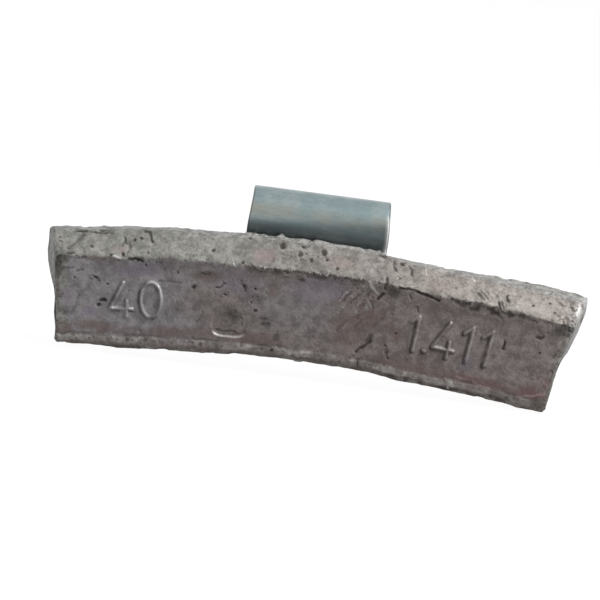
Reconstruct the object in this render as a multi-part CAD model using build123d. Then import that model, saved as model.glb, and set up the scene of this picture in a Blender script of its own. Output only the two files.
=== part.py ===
from build123d import *
import os
from math import asin, atan, cos, degrees, radians, sin, tan

# Clip-on balance weight for a pressed-steel car wheel: an arched lead bar, cast round the root
# of a spring-steel clip that grips the edge of the rim flange.
# Millimetres and degrees. The origin is the centre of the clip's rolled hook, halfway along the
# bar, where the flange edge seats. +X runs along the rim, -Y faces away from the wheel and
# +Z points away from the axle.

# Driving dimensions of the spring clip
clip_thickness = 1.0
clip_width = 15.2
hook_radius = 2.0
hook_wrap = 190.0
neck_lean = 36.0
neck_radius = 1.3
root_lean = 8.0
root_length = 8.4
leg_length = 2.6
tip_radius = 2.0
tip_flare = 42.0
tip_corner_radius = 2.4
sheared_edge_radius = 0.25
anchor_hole_diameter = 3.2
anchor_hole_spacing = 7.6
anchor_hole_height = 3.4

# Driving dimensions of the cast bar
arch_radius = 188.0
bar_length = 60.6
bar_thickness = 5.5
land_drop = 2.1
land_depth = 2.6
flange_gap = 3.0
bevel_height = 2.95
face_height = 8.9
face_draft = 2.0
foot_height = 1.05
foot_depth = 0.7
back_hollow = 0.5
end_draft = 19.0
cast_edge_radius = 0.45
end_edge_radius = 0.3

# Driving dimensions of the stub left below the middle of the bar where the gate was broken off
gate_width = 2.6
gate_depth = 2.2
gate_height = 0.45
gate_draft = 35.0

# Driving dimensions of the dent that the ejector pin left in the face, deepest at its lower edge
pin_diameter = 3.8
pin_depth = 0.3
pin_offset = 9.2
pin_drop = 9.2

# Places worked out from the driving dimensions
hook_middle_radius = hook_radius + clip_thickness / 2
back_y = hook_radius - flange_gap
front_y = back_y - bar_thickness
toe_y = front_y + face_height * tan(radians(face_draft))
heel_y = toe_y + foot_depth
top_z = -land_drop
toe_z = top_z - bevel_height - face_height
bottom_z = toe_z - foot_height
axle_z = top_z - arch_radius
end_angle = degrees(asin(bar_length / 2 / arch_radius))


def turned(angle):
    """A unit vector in the section plane, turned clockwise from straight up."""
    return Vector(sin(radians(angle)), cos(radians(angle)))


def strip_side(offset):
    """One face of the bent strip, from the end of its root to its tip.

    The offset is from the middle of the sheet, positive on the outside of the hook.
    """
    hook_start = -hook_middle_radius * turned(90 - neck_lean)
    neck_centre = hook_start - neck_radius * turned(90 - neck_lean)
    root_top = neck_centre + (neck_radius - offset) * turned(90 + root_lean)
    root = Line(root_top - root_length * turned(root_lean), root_top)
    neck = JernArc(root @ 1, root % 1, neck_radius - offset, root_lean + neck_lean)
    hook = JernArc(neck @ 1, neck % 1, hook_middle_radius + offset, -(neck_lean + hook_wrap))
    leg = Line(hook @ 1, hook @ 1 + leg_length * (hook % 1))
    tip = JernArc(leg @ 1, leg % 1, tip_radius - offset, tip_flare)
    return [root, neck, hook, leg, tip]


def across_strip(line):
    """Plane on the end of a section line: local x across the strip, local y back along it."""
    origin = Plane.YZ.from_local_coords(line @ 1)
    up = Plane.YZ.from_local_coords(line @ 0) - origin
    return Plane(origin=origin, x_dir=(1, 0, 0), z_dir=Vector(1, 0, 0).cross(up))


def rim_clip():
    """The clip: a strip bent into a hook, its tip flared and its root pierced to key the lead."""
    outside = strip_side(clip_thickness / 2)
    inside = strip_side(-clip_thickness / 2)
    root_edge = Line(outside[0] @ 0, inside[0] @ 0)
    tip_edge = Line(outside[-1] @ 1, inside[-1] @ 1)
    section = make_face(Curve() + outside + inside + [root_edge, tip_edge])
    clip = extrude(Plane.YZ * section, amount=clip_width / 2, both=True)

    rolled_edges = []
    for line in outside:
        middle = Plane.YZ.from_local_coords(line @ 0.5)
        for side in (-1, 1):
            place = middle + Vector(side * clip_width / 2, 0, 0)
            rolled_edges.append(clip.edges().sort_by_distance(place)[0])
    clip = fillet(rolled_edges, sheared_edge_radius)

    leg = inside[3]
    tip_plane = across_strip(Line(leg @ 0, leg @ 1))
    tip_reach = tip_plane.to_local_coords(Plane.YZ.from_local_coords(inside[4] @ 1)).Y
    blank = Pos(0, tip_reach + tip_corner_radius) * Rectangle(clip_width, 2 * tip_corner_radius)
    rounded = fillet(blank.vertices().group_by(Axis.Y)[0], tip_corner_radius)
    clip -= extrude(tip_plane * (blank - rounded), amount=hook_middle_radius, both=True)

    root_plane = across_strip(Line(outside[0] @ 1, outside[0] @ 0))
    anchor_holes = Pos(0, anchor_hole_height) * GridLocations(anchor_hole_spacing, 0, 2, 1)
    return clip - root_plane * anchor_holes * Cylinder(anchor_hole_diameter / 2, 4 * clip_thickness)


def bar_section():
    """Section of the bar: top land, broad bevel, drafted face, foot bevel and hollow back."""
    outline = Polyline(
        (back_y, top_z),
        (back_y - land_depth, top_z),
        (front_y, top_z - bevel_height),
        (toe_y, toe_z),
        (heel_y, bottom_z),
        (back_y, bottom_z),
    )
    hollow = (back_y - back_hollow, (top_z + bottom_z) / 2)
    back = ThreePointArc(outline @ 1, hollow, outline @ 0)
    section = make_face(Curve() + [outline, back])
    return fillet(section.vertices(), cast_edge_radius)


def end_plane(side):
    """Plane of one end of the bar: radial, and drafted so that the front is shorter."""
    along = Vector(side * cos(radians(end_angle)), 0, -sin(radians(end_angle)))
    outward = along * cos(radians(end_draft)) - Vector(0, 1, 0) * sin(radians(end_draft))
    corner_z = axle_z + arch_radius * cos(radians(end_angle))
    return Plane(origin=(side * bar_length / 2, back_y, corner_z), z_dir=outward)


def gate_stub():
    """The stub of the broken gate, wider where it meets the bar, which it is sunk into."""
    spread = 2 * gate_height * tan(radians(gate_draft))
    base = Plane(origin=(0, (heel_y + back_y) / 2, bottom_z - gate_height), z_dir=(0, 0, 1))
    broken = base * Rectangle(gate_width - spread, gate_depth - spread)
    sunk = base.offset(2 * gate_height) * Rectangle(gate_width + spread, gate_depth + spread)
    return loft([broken, sunk])


def pin_mark():
    """The pin's end, tilted so that its upper edge just touches the face, off the middle of the bar."""
    tilt = radians(face_draft) + atan(pin_depth / pin_diameter)
    face_y = front_y + (pin_drop - bevel_height) * tan(radians(face_draft))
    place = (0, face_y + pin_depth / 2, top_z - pin_drop)
    pin_end = Plane(origin=place, z_dir=(0, -cos(tilt), -sin(tilt)))
    above = (Align.CENTER, Align.CENTER, Align.MIN)
    pin = pin_end * Cylinder(pin_diameter / 2, bar_thickness, align=above)
    return pin.rotate(Axis((0, 0, axle_z), (0, 1, 0)), -degrees(pin_offset / arch_radius))


def lead_bar(clip):
    """The bar: its section carried round the axle, the ends drafted, and the clip cast in."""
    axle = Axis((0, 0, axle_z), (0, 1, 0))
    sweep_angle = 3 * end_angle
    bar = revolve(Plane.YZ * bar_section(), axis=axle, revolution_arc=sweep_angle)
    bar = bar.rotate(axle, -sweep_angle / 2)
    for side in (-1, 1):
        plane = end_plane(side)
        bar = split(bar, bisect_by=plane, keep=Keep.BOTTOM)
        bar = fillet(bar.faces().filter_by(plane).edges(), end_edge_radius)
    return bar + gate_stub() - pin_mark() - clip


clip = rim_clip()
os.makedirs("parts", exist_ok=True)
export_step(clip, "parts/rim_clip.step")
export_step(lead_bar(clip), "parts/lead_bar.step")
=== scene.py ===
import bpy
import numpy as np
from mathutils import Matrix, Vector


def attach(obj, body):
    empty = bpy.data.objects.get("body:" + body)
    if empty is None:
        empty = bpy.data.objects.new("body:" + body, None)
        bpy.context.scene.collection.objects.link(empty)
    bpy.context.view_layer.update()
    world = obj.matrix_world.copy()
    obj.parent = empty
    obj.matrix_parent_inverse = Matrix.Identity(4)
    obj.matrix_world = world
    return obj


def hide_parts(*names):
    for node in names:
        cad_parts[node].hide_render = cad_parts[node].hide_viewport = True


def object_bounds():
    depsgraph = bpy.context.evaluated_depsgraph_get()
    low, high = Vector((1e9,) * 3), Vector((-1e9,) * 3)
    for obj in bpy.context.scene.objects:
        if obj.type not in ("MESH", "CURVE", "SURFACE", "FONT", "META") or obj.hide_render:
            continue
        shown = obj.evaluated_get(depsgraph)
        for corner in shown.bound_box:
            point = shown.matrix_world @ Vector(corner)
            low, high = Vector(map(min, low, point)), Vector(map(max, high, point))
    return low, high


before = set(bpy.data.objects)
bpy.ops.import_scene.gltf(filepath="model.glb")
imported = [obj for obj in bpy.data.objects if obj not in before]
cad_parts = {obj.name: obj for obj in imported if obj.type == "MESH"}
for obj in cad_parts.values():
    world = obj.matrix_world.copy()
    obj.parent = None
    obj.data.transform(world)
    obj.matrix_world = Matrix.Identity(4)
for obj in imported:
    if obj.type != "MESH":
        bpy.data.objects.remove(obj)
cad_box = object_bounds()


# Lead bar. The weight itself: an arched bar cast in soft lead round the root of the clip and left
# as it came out of the die, with a smooth die face in front, rougher bevels, pits, scuffs, stains
# and dark grime in its edges. Sizes are millimetres, as in all sections below.
MILLIMETRE = 0.001
arch_radius = 188.0
bar_length = 60.6
bar_thickness = 5.5
land_drop = 2.1
land_depth = 2.6
flange_gap = 3.0
hook_radius = 2.0
bevel_height = 2.95
face_height = 8.9
face_draft = np.radians(2.0)
foot_height = 1.05
foot_depth = 0.7
back_hollow = 0.5
end_draft = np.radians(19.0)
end_edge_radius = 0.35
skin_inset = 0.08
face_inset = 0.2
box_margin = 0.01

back_y = hook_radius - flange_gap
front_y = back_y - bar_thickness
toe_y = front_y + face_height * np.tan(face_draft)
heel_y = toe_y + foot_depth
top_z = -land_drop
toe_z = top_z - bevel_height - face_height
bottom_z = toe_z - foot_height
axle_z = top_z - arch_radius
end_angle = np.arcsin(bar_length / 2 / arch_radius)
box_low, box_high = (np.array(corner) / MILLIMETRE for corner in cad_box)


def smooth(low, high, value):
    """Smoothstep: 0 at low, 1 at high, and 3q^2 - 2q^3 of the share q between them."""
    share = np.clip((value - low) / (high - low), 0.0, 1.0)
    return share * share * (3.0 - 2.0 * share)


def hump(value, middle, reach):
    """A smooth hump of height 1: exp of minus the squared distance from the middle, in reaches."""
    return np.exp(-(((value - middle) / reach) ** 2))


def hashed(cells, seed):
    """A fixed random number from 0 to 1 for each whole-numbered cell: the cell's bits, well mixed."""
    key = np.full(cells.shape[:-1], seed * 2654435761, dtype=np.int64)
    for axis, prime in enumerate((73856093, 19349663, 83492791)[: cells.shape[-1]]):
        key = key ^ (cells[..., axis] * prime)
    key = (key ^ (key >> 13)) * 1274126177 & 0xFFFFFFFF
    key = (key ^ (key >> 16)) * 2246822519 & 0xFFFFFFFF
    return (key >> 8) / float(1 << 24)


def lattice(points, cell, seed):
    """Smooth noise from -1 to 1: hashed values on a cubic lattice, blended by smoothstep."""
    scaled = points / cell
    corner = np.floor(scaled).astype(np.int64)
    weight = scaled - corner
    weight = weight * weight * (3.0 - 2.0 * weight)
    total = np.zeros(points.shape[:-1])
    for step in np.ndindex(2, 2, 2):
        share = np.where(step, weight, 1.0 - weight)
        total += (2.0 * hashed(corner + step, seed) - 1.0) * share.prod(axis=-1)
    return total


def pit_field(along, across, cell, seed):
    """Round pits: each square cell holds one disc of random place and size, and gives 1 - (d/r)^2."""
    grid = np.stack([np.floor(along / cell), np.floor(across / cell)], axis=-1).astype(np.int64)
    deepest = np.zeros(along.shape)
    for shift in np.ndindex(3, 3):
        home = grid + shift - 1
        place = (home + np.stack([hashed(home, seed), hashed(home, seed + 1)], axis=-1)) * cell
        reach = cell * (0.07 + 0.33 * hashed(home, seed + 2) ** 3)
        distance = np.hypot(along - place[..., 0], across - place[..., 1])
        deepest = np.maximum(deepest, 1.0 - (distance / reach) ** 2)
    return deepest


def from_segment(along, height, start, end):
    """Distance to a straight segment, and the share of its length at which its nearest point lies."""
    dx, dz = end[0] - start[0], end[1] - start[1]
    share = ((along - start[0]) * dx + (height - start[1]) * dz) / max(dx * dx + dz * dz, 1e-9)
    share = np.clip(share, 0.0, 1.0)
    return np.hypot(along - start[0] - share * dx, height - start[1] - share * dz), share


def stroke_distance(along, height, strokes):
    """Distance to the nearest of several strokes, each a chain of straight segments."""
    nearest = np.full(along.shape, np.inf)
    for stroke in strokes:
        for start, end in zip(stroke[:-1], stroke[1:]):
            nearest = np.minimum(nearest, from_segment(along, height, start, end)[0])
    return nearest


def rounded_outline(corners, radii, run_rows, arc_rows):
    """Closed outline: even rows on the straight runs, and tangent arcs of given radii at the corners.

    Gives the points, the outward normals and a number for each row: 2i on arc i, and 2i + 1 on the
    straight run after it.
    """
    corners = np.array(corners)
    heading = np.roll(corners, -1, axis=0) - corners
    heading /= np.linalg.norm(heading, axis=1)[:, None]
    arriving = np.roll(heading, 1, axis=0)
    turn = np.arccos((heading * arriving).sum(axis=1))
    setback = np.array(radii) * np.tan(turn / 2)
    points, normals, rows = [], [], []
    for i, corner in enumerate(corners):
        inward = np.array([-arriving[i, 1], arriving[i, 0]])
        centre = corner - arriving[i] * setback[i] + radii[i] * inward
        angles = np.arctan2(-inward[1], -inward[0]) + np.linspace(0.0, turn[i], arc_rows[i])
        normal = np.stack([np.cos(angles), np.sin(angles)], axis=1)
        points.append(centre + radii[i] * normal)
        normals.append(normal)
        rows.append(np.full(arc_rows[i], 2 * i))
        after = (i + 1) % len(corners)
        start = corner + heading[i] * setback[i]
        end = corners[after] - heading[i] * setback[after]
        share = np.linspace(0.0, 1.0, run_rows[i] + 2)[1:-1, None]
        points.append(start + share * (end - start))
        normals.append(np.tile([heading[i, 1], -heading[i, 0]], (run_rows[i], 1)))
        rows.append(np.full(run_rows[i], 2 * i + 1))
    return np.concatenate(points), np.concatenate(normals), np.concatenate(rows)


def closed_tube(name, rings, fields):
    """Mesh of a tube: rings of points joined by quads, each end closed by a fan to its middle."""
    count, size = rings.shape[:2]
    points = np.concatenate([rings.reshape(-1, 3), rings[[0, -1]].mean(axis=1)]) * MILLIMETRE
    ring = np.arange(count - 1)[:, None] * size
    row = np.arange(size)
    following = np.roll(row, -1)
    quads = np.stack([ring + row, ring + following, ring + size + following, ring + size + row], axis=-1)
    first_pole = np.full(size, count * size)
    last_ring = (count - 1) * size
    first_fan = np.stack([first_pole, following, row], axis=1)
    last_fan = np.stack([first_pole + 1, last_ring + row, last_ring + following], axis=1)
    faces = quads.reshape(-1, 4).tolist() + first_fan.tolist() + last_fan.tolist()
    mesh = bpy.data.meshes.new(name)
    mesh.from_pydata(points.tolist(), [], faces)
    mesh.polygons.foreach_set("use_smooth", np.ones(len(mesh.polygons), dtype=bool))
    for key, values in fields.items():
        data = np.concatenate([values.reshape(-1), values[[0, -1]].mean(axis=1)])
        mesh.attributes.new(key, "FLOAT", "POINT").data.foreach_set("value", data.astype(np.float32))
    mesh.update()
    piece = bpy.data.objects.new(name, mesh)
    bpy.context.collection.objects.link(piece)
    return piece


# Section of the bar, from the top of its back round by the front: land, bevel, face, foot, sole, back
section, section_normal, row_kind = rounded_outline(
    [
        (back_y - skin_inset, top_z - skin_inset),
        (back_y - land_depth, top_z - skin_inset),
        (front_y + face_inset, top_z - bevel_height + skin_inset),
        (toe_y + face_inset, toe_z),
        (heel_y, bottom_z + skin_inset),
        (back_y - skin_inset, bottom_z + skin_inset),
    ],
    radii=(0.3, 0.5, 0.45, 0.45, 0.35, 0.2),
    run_rows=(11, 34, 86, 8, 6, 9),
    arc_rows=(4, 5, 6, 5, 4, 3),
)

# Numbers of its rows: the arcs at the edges of the land, the face and the heel, and three straight runs
land_arc, face_arc, heel_arc = 2, 4, 8
foot_run, sole_run, back_run = 7, 9, 11
on_back = row_kind == back_run
section[on_back, 0] -= back_hollow * (1.0 - np.linspace(-1.0, 1.0, on_back.sum()) ** 2)
row_length = np.linalg.norm(np.roll(section, -1, axis=0) - section, axis=1)
around = np.cumsum(row_length) - row_length
girth = row_length.sum()
corner_around = np.array([around[row_kind == arc].mean() for arc in range(0, back_run, 2)])
back_top, bevel_top, face_top, face_foot, heel = corner_around[:5]

# Columns along the bar: closer together where the raised figures stand
main_columns = 500
figure_spans = ((-24.0, -16.0), (11.0, 22.0))
half_run = bar_length / 2
trial = np.linspace(-half_run, half_run, 2001)
density = np.ones(trial.size)
for first, last in figure_spans:
    density += 0.7 * smooth(first - 0.5, first + 0.5, trial) * smooth(last + 0.5, last - 0.5, trial)
growth = np.cumsum(density)
run_share = np.interp(np.linspace(growth[0], growth[-1], main_columns), growth, trial) / half_run

# Ends: the outline rolls in round the end's edge and then shrinks to the middle of the end face
end_rings = 7
rolls = np.radians(np.linspace(90.0, 15.0, 6))
end_shrink = np.concatenate([np.linspace(0.15, 0.93, end_rings), np.ones(rolls.size)])
end_inset = np.concatenate([np.full(end_rings, end_edge_radius), end_edge_radius * (1.0 - np.cos(rolls))])
end_short = np.concatenate([np.zeros(end_rings), end_edge_radius * (1.0 - np.sin(rolls))])


def end_half_angle(y, radius):
    """Angle at which the drafted end plane cuts a line of the given depth and radius."""
    return end_angle + np.arcsin(np.tan(end_draft) * (y - back_y) / radius)


section_middle = section.mean(axis=0)
rim = section[None] - end_inset[:, None, None] * section_normal[None]
rim = section_middle + end_shrink[:, None, None] * (rim - section_middle)
rim_radius = rim[..., 1] - axle_z
rim_angle = end_half_angle(rim[..., 0], rim_radius) - (end_short[:, None] + skin_inset) / rim_radius
run_radius = section[:, 1] - axle_z
run_angle = end_half_angle(section[:, 0], run_radius) - (end_edge_radius + skin_inset) / run_radius
run_angle = run_share[:, None] * run_angle[None]
angle = np.concatenate([-rim_angle, run_angle, rim_angle[::-1]])
run = np.broadcast_to(section, (main_columns,) + section.shape)
flat = np.concatenate([rim, run, rim[::-1]])
radius = flat[..., 1] - axle_z
depth = flat[..., 0]

# Where each point lies: along the arch, below its top edge, round the section and from the edges
along = angle * arch_radius
below = radius - arch_radius
around_bar = np.broadcast_to(around, along.shape)
kind = np.broadcast_to(row_kind, along.shape)
edge_gap = np.abs(around[None] - corner_around[:, None])
edge_gap = np.minimum(edge_gap, girth - edge_gap).min(axis=0)
end_gap = (end_half_angle(depth, radius) - np.abs(angle)) * radius
edge_gap = np.minimum(np.broadcast_to(edge_gap, along.shape), end_gap)
on_front = (kind >= land_arc) & (kind <= foot_run)
on_end = smooth(0.3, 0.05, end_gap)
land = smooth(bevel_top + 0.15, bevel_top - 0.2, around_bar) * smooth(0.2, 0.6, end_gap)

# The casting's own waves: how far the section's corners lie above the ideal arch at places along it
wave_places = (-29.5, -26.0, -22.0, -16.0, -11.0, -8.0, 5.5, 7.3, 10.5, 14.0, 18.0, 22.0, 26.0, 29.5)
top_waves = (0.05, -0.2, -0.1, 0.0, -0.1, 0.0, 0.0, -0.4, -0.4, -0.4, -0.2, 0.1, 0.4, 0.5)
land_waves = (0.0, -0.2, -0.1, 0.0, -0.1, 0.0, 0.0, -0.1, -0.5, -0.6, -0.5, -0.4, -0.2, -0.2)
edge_waves = (0.2, 0.15, -0.1, 0.1, 0.0, 0.0, 0.1, 0.1, 0.05, 0.0, 0.1, 0.15, 0.15, 0.1)
toe_waves = (0.2, 0.1, 0.0, -0.1, 0.0, 0.0, 0.0, 0.0, -0.2, -0.3, -0.2, -0.1, -0.1, 0.0)
sole_waves = (0.35, 0.2, -0.2, -0.3, -0.3, -0.1, -0.1, -0.1, -0.4, -0.4, -0.3, -0.2, -0.2, 0.1)
corner_waves = (top_waves, land_waves, edge_waves, toe_waves, sole_waves, sole_waves)
corner_places = np.append(corner_around, girth + corner_around[0])
wave_lift = np.zeros(along.shape)
for own, waves in zip(np.eye(len(corner_waves)), corner_waves):
    near_corner = np.interp(around, corner_places, np.append(own, own[0]))
    wave_lift += near_corner * np.interp(along, wave_places, waves)
radius = radius + wave_lift

# The ends aren't true either: how far the back and the front of each stand out, by depth below the top
end_places = (-13.0, -12.0, -11.0, -9.0, -7.7, -6.5, -5.0, -3.0, -1.5, 0.0)
left_back = (-0.9, -0.9, -0.8, -0.7, -0.6, -0.3, 0.1, 0.2, 0.0, -0.4)
left_front = (1.1, 1.0, 0.8, 0.7, 0.6, 0.5, 0.4, 0.3, 0.2, 0.0)
right_back = (-0.7, -0.9, -1.0, -1.0, -0.8, -0.2, 0.1, 0.3, 0.3, 0.1)
right_front = (0.3, 0.3, 0.3, 0.2, 0.1, 0.1, 0.3, 0.5, 0.3, 0.0)
backward = np.clip((depth - front_y) / bar_thickness, 0.0, 1.0)


def end_bulge(back, front):
    """How far an end stands out: the two lists read by depth below the top, and blended front to back."""
    at_back = np.interp(below, end_places, back)
    at_front = np.interp(below, end_places, front)
    return at_back * backward + at_front * (1.0 - backward)


bulge = np.where(along < 0.0, -end_bulge(left_back, left_front), end_bulge(right_back, right_front))
bulge *= smooth(6.0, 0.0, end_gap)
bar = np.stack([radius * np.sin(angle) + bulge, depth, axle_z + radius * np.cos(angle)], axis=-1)
bar_line = bar * (1, 0, 0)
fret = lattice(bar, 0.5, 41)
cloud = lattice(bar, 3.2, 51) + 0.5 * lattice(bar, 1.4, 52)

# The smooth die face ends in crumbling edges: at the bevel above it, at the foot and at the bar's ends
crumble = 0.16 * lattice(bar, 0.9, 7) + 0.14 * lattice(bar, 0.4, 10) + 0.06 * fret
cold_depth = around_bar - face_top + crumble
foot_reach = around_bar - face_foot + 0.16 * lattice(bar, 1.4, 47) + 0.1 * lattice(bar, 0.5, 46)
end_rim = np.where(along < 0.0, 0.8, 0.4)
face_colour = smooth(-0.1, 0.25, cold_depth) * smooth(end_rim, end_rim + 0.6, end_gap + 2.0 * crumble)
die_face = face_colour * smooth(-0.1, -0.5, foot_reach)
face_colour = face_colour * smooth(1.3, 0.5, foot_reach)

# Raised figures: plain numbers for the mass, in grams on the left and in ounces on the right
figure_height = 3.8
figure_base = -9.3
figure_rise = 0.32
stroke_half = 0.23
round_turn = np.linspace(0.0, 2.0 * np.pi, 33)
figure_strokes = {
    "0": [np.stack([0.32 + 0.3 * np.sin(round_turn), 0.5 + 0.5 * np.cos(round_turn)], axis=1)],
    "1": [np.array([(0.04, 0.78), (0.26, 0.98), (0.26, 0.0)])],
    "4": [np.array([(0.48, 0.0), (0.48, 0.44)]), np.array([(0.38, 0.98), (0.0, 0.23), (0.64, 0.22)])],
    ".": [np.array([(0.0, 0.05), (0.04, 0.05)])],
}
figures = (("4", -22.8), ("0", -19.45), ("1", 11.0), (".", 13.2), ("4", 14.1), ("1", 17.2), ("1", 19.4))
strokes = [
    stroke * figure_height + (left, figure_base)
    for figure, left in figures
    for stroke in figure_strokes[figure]
]
figure_gap = np.where(on_front, stroke_distance(along, below, strokes), np.inf)
figure_crest = np.clip(1.0 - (figure_gap / stroke_half) ** 2, 0.0, 1.0)
figure_wear = np.clip(0.9 + 0.5 * lattice(bar, 1.3, 31), 0.6, 1.0)
figure_lift = figure_rise * figure_crest * figure_wear
figure_foot = hump(figure_gap, stroke_half + 0.05, 0.12)

# How far the figures' flanks face up and to the right, from -1 to 1: there they get a painted highlight,
# and facing away a painted shade
flank_step = 0.1
above_right = stroke_distance(along + flank_step, below + flank_step, strokes)
below_left = stroke_distance(along - flank_step, below - flank_step, strokes)
figure_facing = np.clip((above_right - below_left) / (2.8 * flank_step), -1.0, 1.0)

# Ejector-pin mark: a shallow dent, round but flattened below, tilted so that its lower wall is deepest
pin_along, pin_below = -9.2, -9.2
pin_half_width, pin_half_height = 2.0, 1.75
pin_depth = 0.3
pin_power = 4.0
pin_gap = np.abs((along - pin_along) / pin_half_width) ** pin_power
pin_gap = (pin_gap + np.abs((below - pin_below) / pin_half_height) ** pin_power) ** (1.0 / pin_power)
pin_tilt = np.clip(0.25 - 0.75 * (below - pin_below) / pin_half_height, 0.0, 1.0)
pin_dent = pin_depth * pin_tilt * smooth(1.03, 0.94, pin_gap) * on_front
# Painted highlight along the dent's lower wall, which faces up towards the lamp
pin_wall_highlight = hump(pin_gap, 0.99, 0.04) * smooth(0.72, 0.92, pin_tilt) * on_front

# Cold edge: a dark and crumbling band under the line where the bevel meets the face. At places along
# the arch it reaches so far down the face, and is so dark.
cold_stretches = (
    (-29.0, 0.3, 0.5), (-27.0, 0.4, 0.6), (-24.0, 0.3, 0.5), (-22.0, 0.3, 0.5), (-20.5, 0.3, 0.8),
    (-19.0, 0.3, 0.7), (-17.0, 0.3, 0.4), (-9.0, 0.2, 0.3), (-6.5, 0.2, 0.5), (-5.5, 0.4, 0.7),
    (-4.0, 0.4, 0.7), (-2.0, 0.5, 0.8), (0.0, 0.5, 0.7), (3.0, 0.4, 0.7), (5.0, 0.4, 0.7),
    (6.0, 0.3, 0.5), (8.0, 0.4, 0.8), (9.2, 0.3, 0.5), (13.6, 0.2, 0.4), (15.0, 0.4, 0.7),
    (17.0, 0.8, 1.0), (21.0, 0.9, 1.0), (22.5, 0.6, 0.8), (26.0, 0.3, 0.5), (27.5, 0.4, 0.9),
    (29.0, 0.4, 0.8),
)
cold_places, cold_reaches, cold_darkness = np.array(cold_stretches).T
cold_reach = np.interp(along, cold_places, cold_reaches)
cold_dark = np.interp(along, cold_places, cold_darkness)
cold_band = smooth(-0.3, 0.1, cold_depth) * smooth(cold_reach + 0.4, cold_reach - 0.2, cold_depth)
cold_break = 0.3 + 0.7 * smooth(-0.3, 0.4, lattice(bar, 0.55, 8) + 0.3 * fret)
cold_edge = cold_dark * cold_band * cold_break * smooth(0.2, 0.6, end_gap)

# Other edges: the foot's pale strip between a dark line and the dark heel, and the land's broken edge
foot_pale = smooth(-0.4, -0.15, foot_reach) * smooth(0.65, 0.3, foot_reach)
foot_line = hump(foot_reach, -0.45, 0.15) * smooth(-0.3, 0.4, lattice(bar_line, 1.5, 55) + 0.4 * fret)
foot_dark = smooth(0.3, 0.8, foot_reach) * (kind <= heel_arc)
heel_edge = hump(around_bar, heel - 0.1 + 0.1 * lattice(bar_line, 1.7, 45), 0.17)
heel_edge *= smooth(-0.5, 0.3, lattice(bar_line, 1.9, 49) + 0.4 * fret)
land_line = bevel_top + 0.1 + 0.08 * lattice(bar_line, 1.4, 27)
land_edge = hump(around_bar, land_line, 0.16) * smooth(-0.2, 0.4, lattice(bar, 0.7, 28) + 0.3 * fret)
land_edge *= 0.2 + 0.8 * smooth(2.9, 1.9, np.abs(along + 24.7)) + 0.3 * smooth(7.0, 10.0, along)

# Pits: single ones at places along the arch and below its top, with a radius, and a scatter of small ones
lone_pits = (
    (-24.9, -1.8, 0.2), (-22.8, -2.6, 0.2), (-21.4, -2.4, 0.2), (-20.3, -1.1, 0.2), (-19.6, -0.9, 0.2),
    (-18.7, -2.3, 0.1), (-11.7, -1.7, 0.2), (-7.8, -0.2, 0.2), (-8.2, -2.6, 0.2), (-4.1, -0.6, 0.3),
    (-2.1, -1.3, 0.3), (-2.0, -1.8, 0.1), (-1.8, -0.6, 0.2), (-1.5, -1.1, 0.1), (-0.8, -1.6, 0.2),
    (-0.2, -1.2, 0.1), (0.5, -0.7, 0.3), (0.9, -1.5, 0.2), (2.1, -2.1, 0.2), (9.1, -0.3, 0.2),
    (9.0, -2.0, 0.1), (24.0, -1.7, 0.2), (25.7, -1.1, 0.1), (26.3, -1.9, 0.1), (-24.3, -5.2, 0.2),
    (-23.1, -5.8, 0.1), (-26.4, -5.2, 0.1), (-24.0, -8.1, 0.2), (-13.5, -5.8, 0.2), (-6.5, -5.4, 0.1),
    (-6.4, -7.8, 0.2), (9.8, -7.9, 0.1), (9.0, -5.9, 0.1), (26.0, -4.2, 0.1), (26.1, -6.4, 0.1),
    (-24.8, -5.4, 0.1), (-24.0, -5.5, 0.1), (-15.4, -4.3, 0.1), (-10.0, -6.3, 0.1), (-7.0, -6.9, 0.1),
    (-18.9, -3.6, 0.1), (-16.8, -4.0, 0.1),
)
mark_soft = 0.03
mark_along = along + 0.12 * lattice(bar, 0.7, 61) + 0.08 * lattice(bar, 0.3, 62)
mark_below = below + 0.12 * lattice(bar, 0.7, 63) + 0.08 * lattice(bar, 0.3, 64)
pits = np.zeros(along.shape)
for pit_along, pit_below, pit_radius in lone_pits:
    pit_gap = np.hypot(mark_along - pit_along, mark_below - pit_below) / (pit_radius + mark_soft)
    pit_gap += 0.3 * fret
    pits = np.maximum(pits, np.clip(1.6 - 1.6 * pit_gap**2, 0.0, 1.0) * on_front)
rough_skin = 1.0 - 0.8 * die_face
pit_patch = smooth(0.0, 0.6, lattice(bar, 3.0, 12) + 0.6 * hump(edge_gap, 0.0, 0.8))
scatter = np.clip(pit_field(mark_along, around_bar, 0.8, 3), 0.0, 1.0) * pit_patch
pits = np.maximum(pits, 0.6 * scatter * (1.0 - 0.5 * die_face))


def stroke_field(marks):
    """Strokes on the front: a mark is its points, along and below in turn, two half widths and a strength.

    The half width goes from the one at the start to the one at the end. Gives the strength times
    1.4 (1 - q^2), kept from 0 to 1, where q is the ragged distance in half widths.
    """
    field = np.zeros(along.shape)
    for *places, start_half, end_half, strength in marks:
        points = list(zip(places[::2], places[1::2]))
        for i, (start, end) in enumerate(zip(points[:-1], points[1:])):
            gap, share = from_segment(mark_along, mark_below, start, end)
            half = mark_soft + start_half + (i + share) / (len(points) - 1) * (end_half - start_half)
            ragged = gap / half + 0.3 * fret
            field = np.maximum(field, strength * np.clip(1.4 - 1.4 * ragged**2, 0.0, 1.0))
    return field * on_front
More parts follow.
